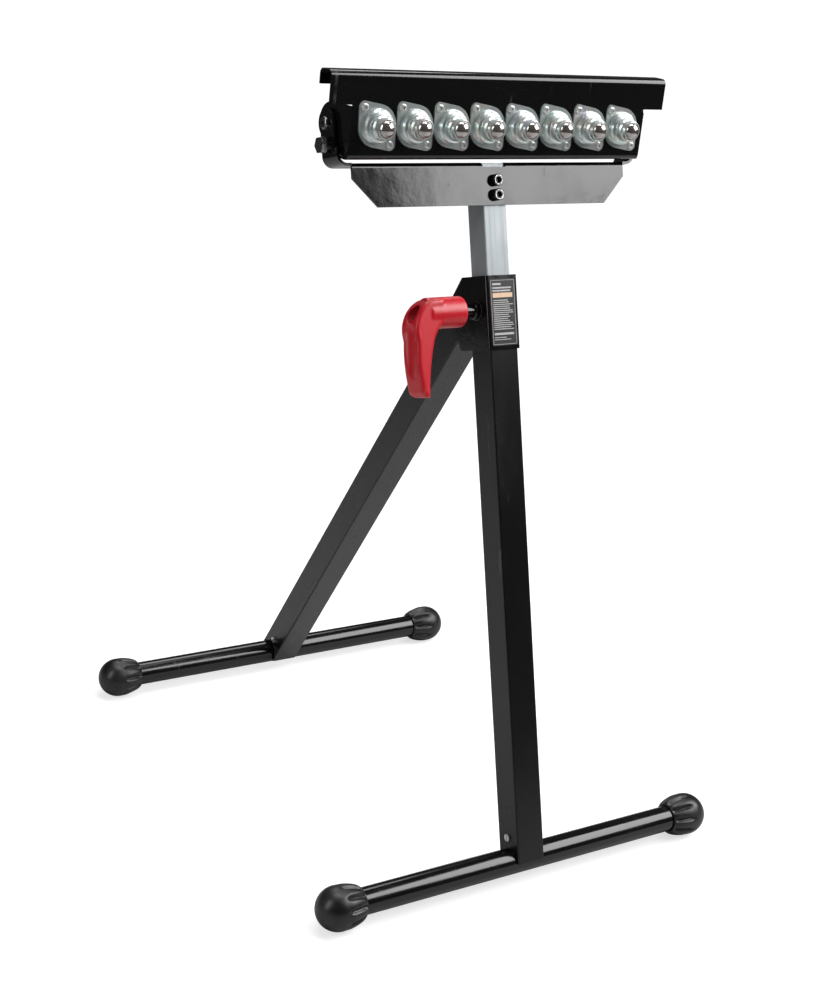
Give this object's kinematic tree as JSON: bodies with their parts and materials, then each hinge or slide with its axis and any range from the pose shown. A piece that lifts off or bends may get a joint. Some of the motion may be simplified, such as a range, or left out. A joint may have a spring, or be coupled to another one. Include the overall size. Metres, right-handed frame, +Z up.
{
  "type": "folding work support stand",
  "caption": "Folding height-adjustable work support stand with a leaning post, rear leg, red clamp lever and a tilting head of ball transfers under a hooked rest.",
  "frame": {"origin": "on the floor, midway between the two foot bars and centred along them", "axes": "+Z up, +X along the foot bars to the right as seen from the ball side, +Y from the front bar to the rear bar"},
  "size_m": [0.446, 0.5232, 0.7217],
  "materials": {
    "black_paint_sheet": "gloss",
    "black_paint_tube": "satin gloss",
    "black_rubber": "matte",
    "zinc_tube": "satin",
    "red_plastic": "gloss",
    "black_nylon": "matte",
    "label_vinyl": "satin",
    "zinc_fastener": "satin",
    "black_fastener": "satin",
    "brass_pad": "satin",
    "bearing_steel": "polished",
    "zinc_pressing": "bright"
  },
  "bodies": {
    "base": {"front_foot_bar": "black_paint_tube", "front_left_foot_cap": "black_rubber", "front_right_foot_cap": "black_rubber", "front_saddle_block": "black_nylon", "front_foot_screws": "zinc_fastener", "front_post": "black_paint_tube", "clamp_collar": "black_paint_sheet", "label_plate": "label_vinyl", "guide_bush": "black_nylon", "clamp_weld_nut": "black_paint_sheet", "hinge_bolt": "zinc_fastener", "hinge_washers": "zinc_fastener", "hinge_nut": "zinc_fastener"},
    "leg": {"rear_leg": "black_paint_tube", "rear_foot_bar": "black_paint_tube", "rear_left_foot_cap": "black_rubber", "rear_right_foot_cap": "black_rubber", "rear_saddle_block": "black_nylon", "rear_foot_screws": "zinc_fastener", "leg_bushes": "black_nylon"},
    "clamp": {"clamp_handle": "red_plastic", "clamp_stud": "zinc_fastener", "stud_sleeve": "black_paint_sheet", "handle_nut": "zinc_fastener", "pressure_pad": "brass_pad"},
    "mast": {"inner_post": "zinc_tube", "post_foot_plug": "black_nylon", "yoke": "black_paint_sheet", "apron_screws": "black_fastener", "apron_washers": "zinc_fastener", "apron_nuts": "zinc_fastener", "pivot_bolts": "black_fastener", "pivot_washers": "zinc_fastener", "pivot_nuts": "zinc_fastener"},
    "lock": {"lock_bolt": "black_fastener"},
    "head": {"support_plate": "black_paint_sheet", "pivot_bushes": "black_nylon", "load_balls": "bearing_steel", "ball_rivets": "zinc_fastener", "ball_housing_1": "zinc_pressing", "ball_housing_2": "zinc_pressing", "ball_housing_3": "zinc_pressing", "ball_housing_4": "zinc_pressing", "ball_housing_5": "zinc_pressing", "ball_housing_6": "zinc_pressing", "ball_housing_7": "zinc_pressing", "ball_housing_8": "zinc_pressing"},
    "roller_ball_1": {"ball_1": "bearing_steel"},
    "roller_ball_2": {"ball_2": "bearing_steel"},
    "roller_ball_3": {"ball_3": "bearing_steel"},
    "roller_ball_4": {"ball_4": "bearing_steel"},
    "roller_ball_5": {"ball_5": "bearing_steel"},
    "roller_ball_6": {"ball_6": "bearing_steel"},
    "roller_ball_7": {"ball_7": "bearing_steel"},
    "roller_ball_8": {"ball_8": "bearing_steel"}
  },
  "joints": [
    {"name": "leg_fold", "type": "hinge", "parent": "base", "child": "leg", "pos_m": [0, -0.06184, 0.50087], "axis": [1, 0, 0], "range_deg": [-48.9, 0]},
    {"name": "mast_slide", "type": "slide", "parent": "base", "child": "mast", "axis": [0, 0.2882, 0.9576], "range_m": [-0.06, 0.34]},
    {"name": "clamp_turn", "type": "hinge", "parent": "base", "child": "clamp", "pos_m": [0, -0.09238, 0.51392], "axis": [-1, 0, 0], "range_deg": [0, 180]},
    {"name": "lock_screw", "type": "slide", "parent": "mast", "child": "lock", "axis": [1, 0, 0], "range_m": [0, 0.0034]},
    {"name": "head_tilt", "type": "hinge", "parent": "mast", "child": "head", "pos_m": [0, -0.04445, 0.67316], "axis": [1, 0, 0], "range_deg": [-90, 0]},
    {"name": "ball_1_roll", "type": "hinge", "parent": "head", "child": "roller_ball_1", "pos_m": [-0.133, -0.09265, 0.67676], "axis": [1, 0, 0], "continuous": true},
    {"name": "ball_2_roll", "type": "hinge", "parent": "head", "child": "roller_ball_2", "pos_m": [-0.095, -0.09265, 0.67676], "axis": [1, 0, 0], "continuous": true},
    {"name": "ball_3_roll", "type": "hinge", "parent": "head", "child": "roller_ball_3", "pos_m": [-0.057, -0.09265, 0.67676], "axis": [1, 0, 0], "continuous": true},
    {"name": "ball_4_roll", "type": "hinge", "parent": "head", "child": "roller_ball_4", "pos_m": [-0.019, -0.09265, 0.67676], "axis": [1, 0, 0], "continuous": true},
    {"name": "ball_5_roll", "type": "hinge", "parent": "head", "child": "roller_ball_5", "pos_m": [0.019, -0.09265, 0.67676], "axis": [1, 0, 0], "continuous": true},
    {"name": "ball_6_roll", "type": "hinge", "parent": "head", "child": "roller_ball_6", "pos_m": [0.057, -0.09265, 0.67676], "axis": [1, 0, 0], "continuous": true},
    {"name": "ball_7_roll", "type": "hinge", "parent": "head", "child": "roller_ball_7", "pos_m": [0.095, -0.09265, 0.67676], "axis": [1, 0, 0], "continuous": true},
    {"name": "ball_8_roll", "type": "hinge", "parent": "head", "child": "roller_ball_8", "pos_m": [0.133, -0.09265, 0.67676], "axis": [1, 0, 0], "continuous": true}
  ]
}
